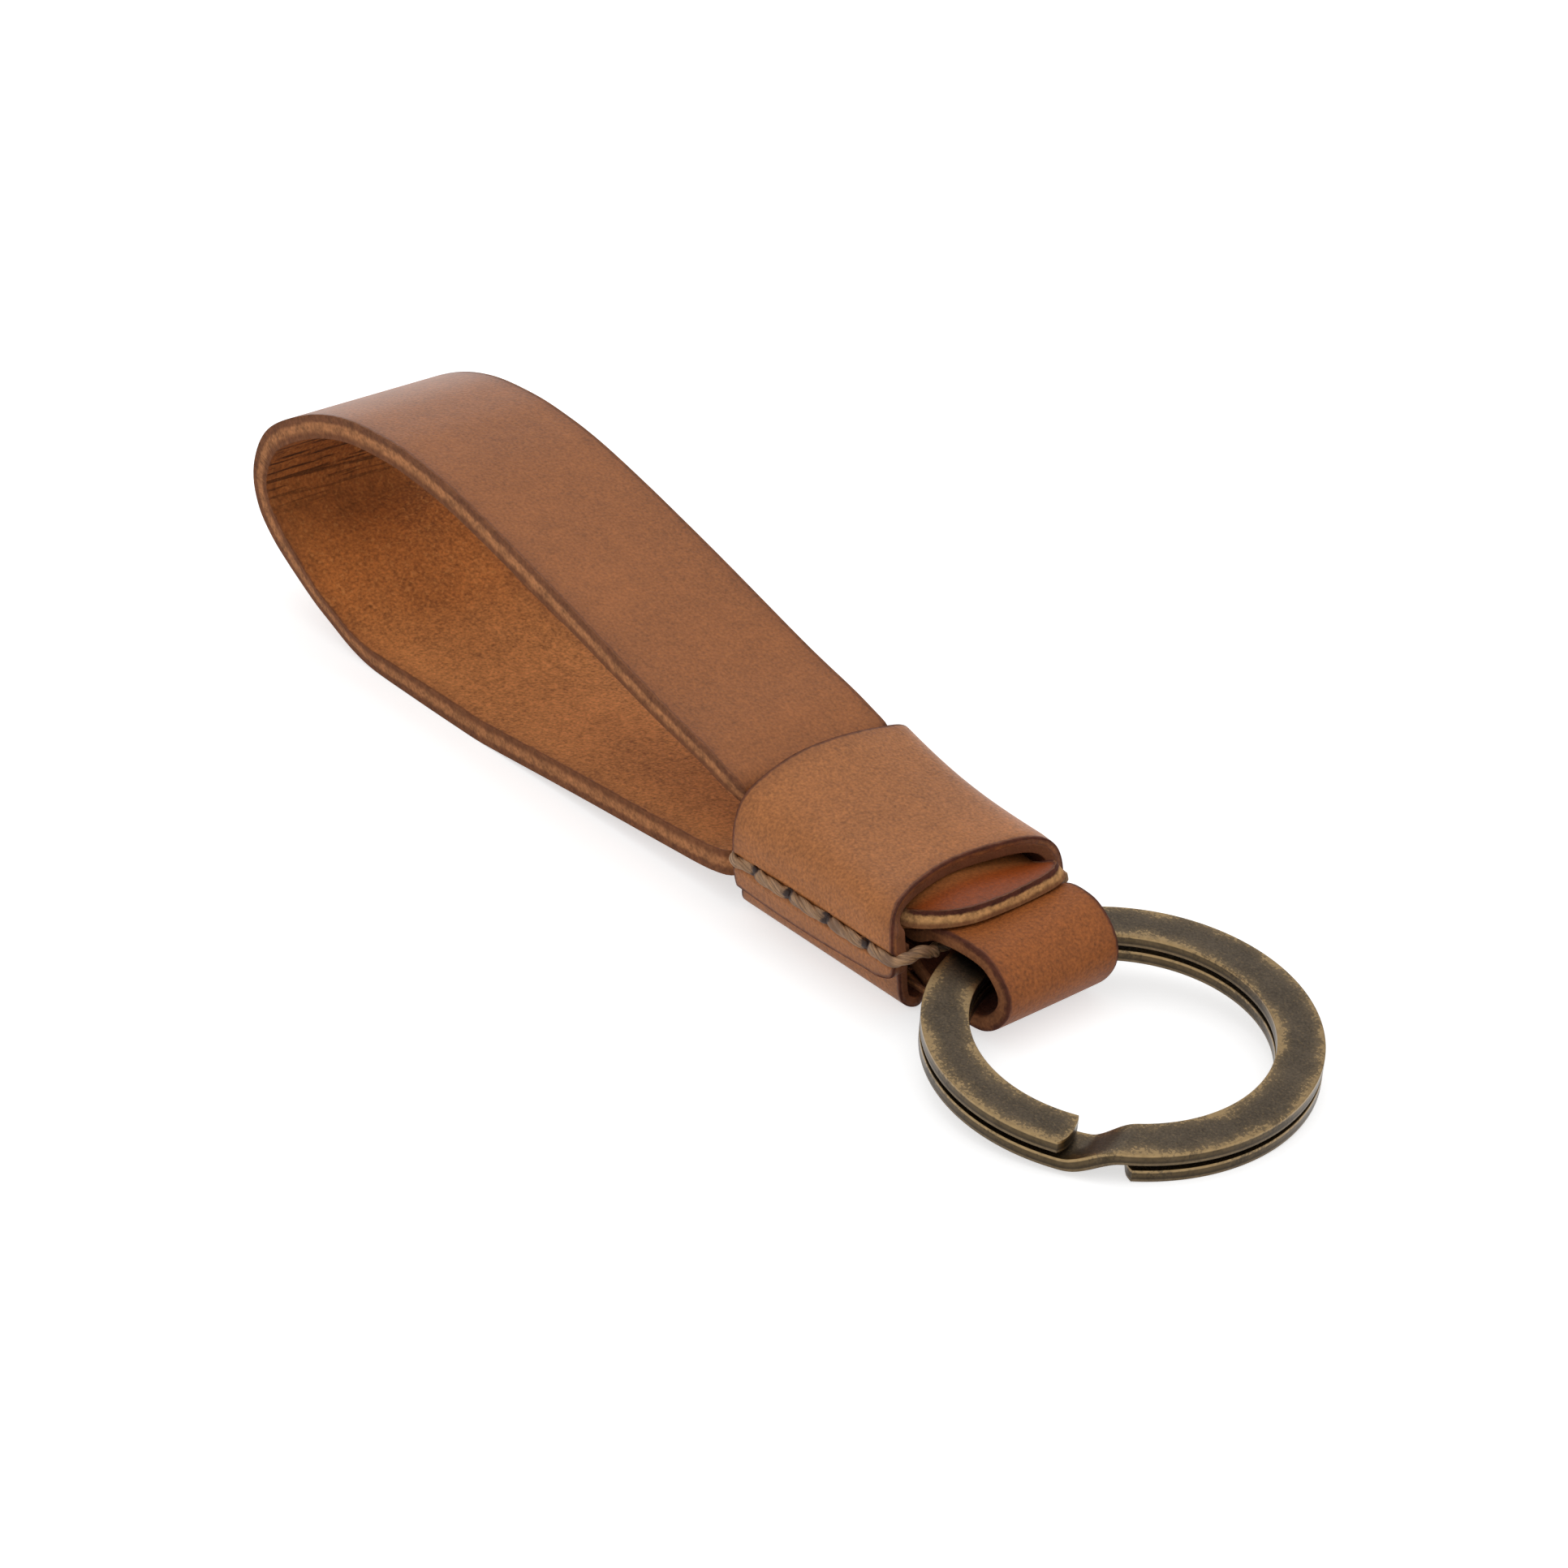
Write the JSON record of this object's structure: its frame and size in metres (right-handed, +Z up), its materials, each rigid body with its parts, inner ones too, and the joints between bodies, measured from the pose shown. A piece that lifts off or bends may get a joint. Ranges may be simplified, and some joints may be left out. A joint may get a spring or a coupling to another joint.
{
  "type": "leather keychain with split ring",
  "caption": "Folded leather strap in a teardrop loop, held by a stitched wrap, with a small leather loop that carries a split ring.",
  "frame": {"origin": "centre of the object's box on the surface that it lies on", "axes": "+X from the leather loop to the split ring, +Y across the strap, +Z up from the surface"},
  "size_m": [0.1276, 0.032, 0.0244],
  "materials": {
    "strap_leather": "tan vegetable-tanned leather, semi-matt grain outside, brushed flesh side inside, burnished edges",
    "wrap_leather": "lighter tan vegetable-tanned leather, semi-matt grain, dark burnished edges",
    "waxed_thread": "thick waxed thread, beige-olive, matt",
    "ring_loop_leather": "tan vegetable-tanned leather, semi-matt grain, dark burnished edges",
    "antique_brass": "dark antique brass, worn bright on the edges"
  },
  "bodies": {
    "leather": {"strap": "strap_leather", "wrap": "wrap_leather", "thread": "waxed_thread"},
    "loop": {"ring_loop": "ring_loop_leather"},
    "ring": {"split_ring": "antique_brass"}
  },
  "joints": [
    {"name": "loop_flex", "type": "hinge", "parent": "leather", "child": "loop", "pos_m": [0.03335, -0.00057, 0.00431], "axis": [0, -1, 0], "range_deg": [-20, 35], "deforming": ["ring_loop"]},
    {"name": "ring_turn", "type": "hinge", "parent": "loop", "child": "ring", "pos_m": [0.04776, 0, 0.00313], "axis": [0.1076, -0.0333, 0.9936], "continuous": true}
  ]
}
